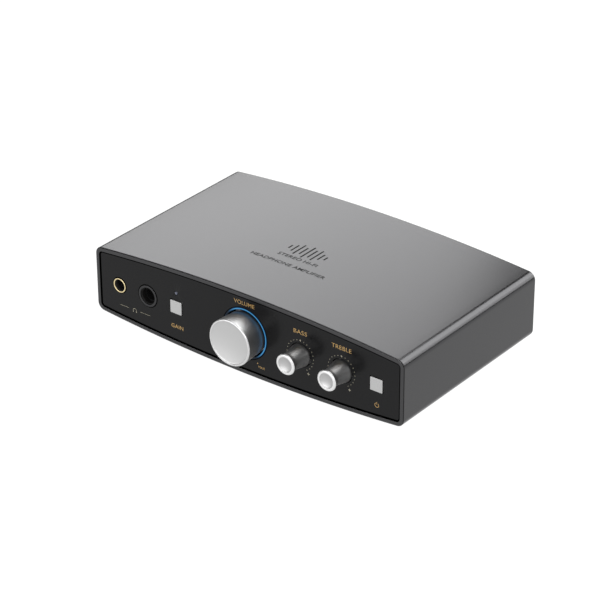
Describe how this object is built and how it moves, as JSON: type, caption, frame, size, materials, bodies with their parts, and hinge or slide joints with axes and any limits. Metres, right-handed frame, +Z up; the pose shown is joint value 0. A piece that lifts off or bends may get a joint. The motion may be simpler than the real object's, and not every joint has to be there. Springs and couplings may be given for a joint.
{
  "type": "headphone amplifier",
  "caption": "Low desktop headphone amplifier: crowned grey aluminium sleeve, black front with headphone jacks, square push buttons, a lit volume knob and two waisted tone knobs.",
  "frame": {"origin": "middle of the bounding box's footprint, on the table under the feet; this is also the middle of the sleeve", "axes": "+X to the right seen from the front, +Y from the front panel to the rear, +Z up"},
  "size_m": [0.168, 0.1168, 0.041],
  "materials": {
    "sleeve": "fine bead-blasted, grey anodised",
    "panel": "satin black anodised, faint sheen",
    "silver": "satin turned aluminium with a cut rim",
    "steel": "plated",
    "dark_steel": "blackened",
    "gold": "gold plated, satin",
    "board": "green solder mask",
    "black_plastic": "moulded",
    "white_plastic": "moulded",
    "red_plastic": "moulded",
    "orange_plastic": "moulded",
    "light_guide": "clear acrylic, lit blue",
    "rubber": "matt",
    "ferrite": "matt"
  },
  "bodies": {
    "chassis": {"case_sleeve": "sleeve", "front_panel": "panel", "rear_panel": "panel", "rear_screw_1": "dark_steel", "rear_screw_2": "dark_steel", "rear_screw_3": "dark_steel", "rear_screw_4": "dark_steel", "board_screw_1": "dark_steel", "board_screw_2": "dark_steel", "board_screw_3": "dark_steel", "board_screw_4": "dark_steel", "foot_1": "rubber", "foot_2": "rubber", "foot_3": "rubber", "foot_4": "rubber", "front_board": "board", "main_board": "board", "board_header": "black_plastic", "power_inductor": "ferrite", "output_relay": "white_plastic", "usb_chip": "black_plastic", "dac_chip": "black_plastic", "clock_oscillator": "steel", "amplifier_chip_left": "black_plastic", "amplifier_chip_right": "black_plastic", "reservoir_capacitor_1": "black_plastic", "reservoir_capacitor_2": "black_plastic", "balanced_jack": "black_plastic", "balanced_ring": "gold", "headphone_jack": "black_plastic", "headphone_ring": "dark_steel", "light_ring": "light_guide", "gain_light": "light_guide", "volume_pot": "steel", "bass_pot": "steel", "treble_pot": "steel", "gain_switch": "black_plastic", "power_switch": "black_plastic", "rca_housing": "black_plastic", "rca_left_barrel": "gold", "rca_left_core": "white_plastic", "rca_right_barrel": "gold", "rca_right_core": "red_plastic", "coaxial_housing": "black_plastic", "coaxial_barrel": "gold", "coaxial_core": "orange_plastic", "optical_socket": "black_plastic", "usb_data_socket": "steel", "usb_power_socket": "steel"},
    "volume_control": {"volume_knob": "silver", "volume_shaft": "steel"},
    "bass_control": {"bass_knob": "silver", "bass_shaft": "steel"},
    "treble_control": {"treble_knob": "silver", "treble_shaft": "steel"},
    "gain_key": {"gain_button": "silver"},
    "power_key": {"power_button": "silver"},
    "optical_flap": {"optical_shutter": "black_plastic"}
  },
  "joints": [
    {"name": "volume_turn", "type": "hinge", "parent": "chassis", "child": "volume_control", "pos_m": [0, -0.04835, 0.0214], "axis": [0, 1, 0], "range_deg": [-150, 150]},
    {"name": "bass_turn", "type": "hinge", "parent": "chassis", "child": "bass_control", "pos_m": [0.0301, -0.04835, 0.0214], "axis": [0, 1, 0], "range_deg": [-150, 150]},
    {"name": "treble_turn", "type": "hinge", "parent": "chassis", "child": "treble_control", "pos_m": [0.0517, -0.04835, 0.0214], "axis": [0, 1, 0], "range_deg": [-150, 150]},
    {"name": "gain_press", "type": "slide", "parent": "chassis", "child": "gain_key", "axis": [0, 1, 0], "range_m": [0, 0.001], "stiffness_N_per_m": 1200},
    {"name": "power_press", "type": "slide", "parent": "chassis", "child": "power_key", "axis": [0, 1, 0], "range_m": [0, 0.001], "stiffness_N_per_m": 1200},
    {"name": "optical_shutter_hinge", "type": "hinge", "parent": "chassis", "child": "optical_flap", "pos_m": [0.01, 0.04725, 0.02135], "axis": [-1, 0, 0], "range_deg": [0, 80], "stiffness_Nm_per_rad": 0.001}
  ]
}
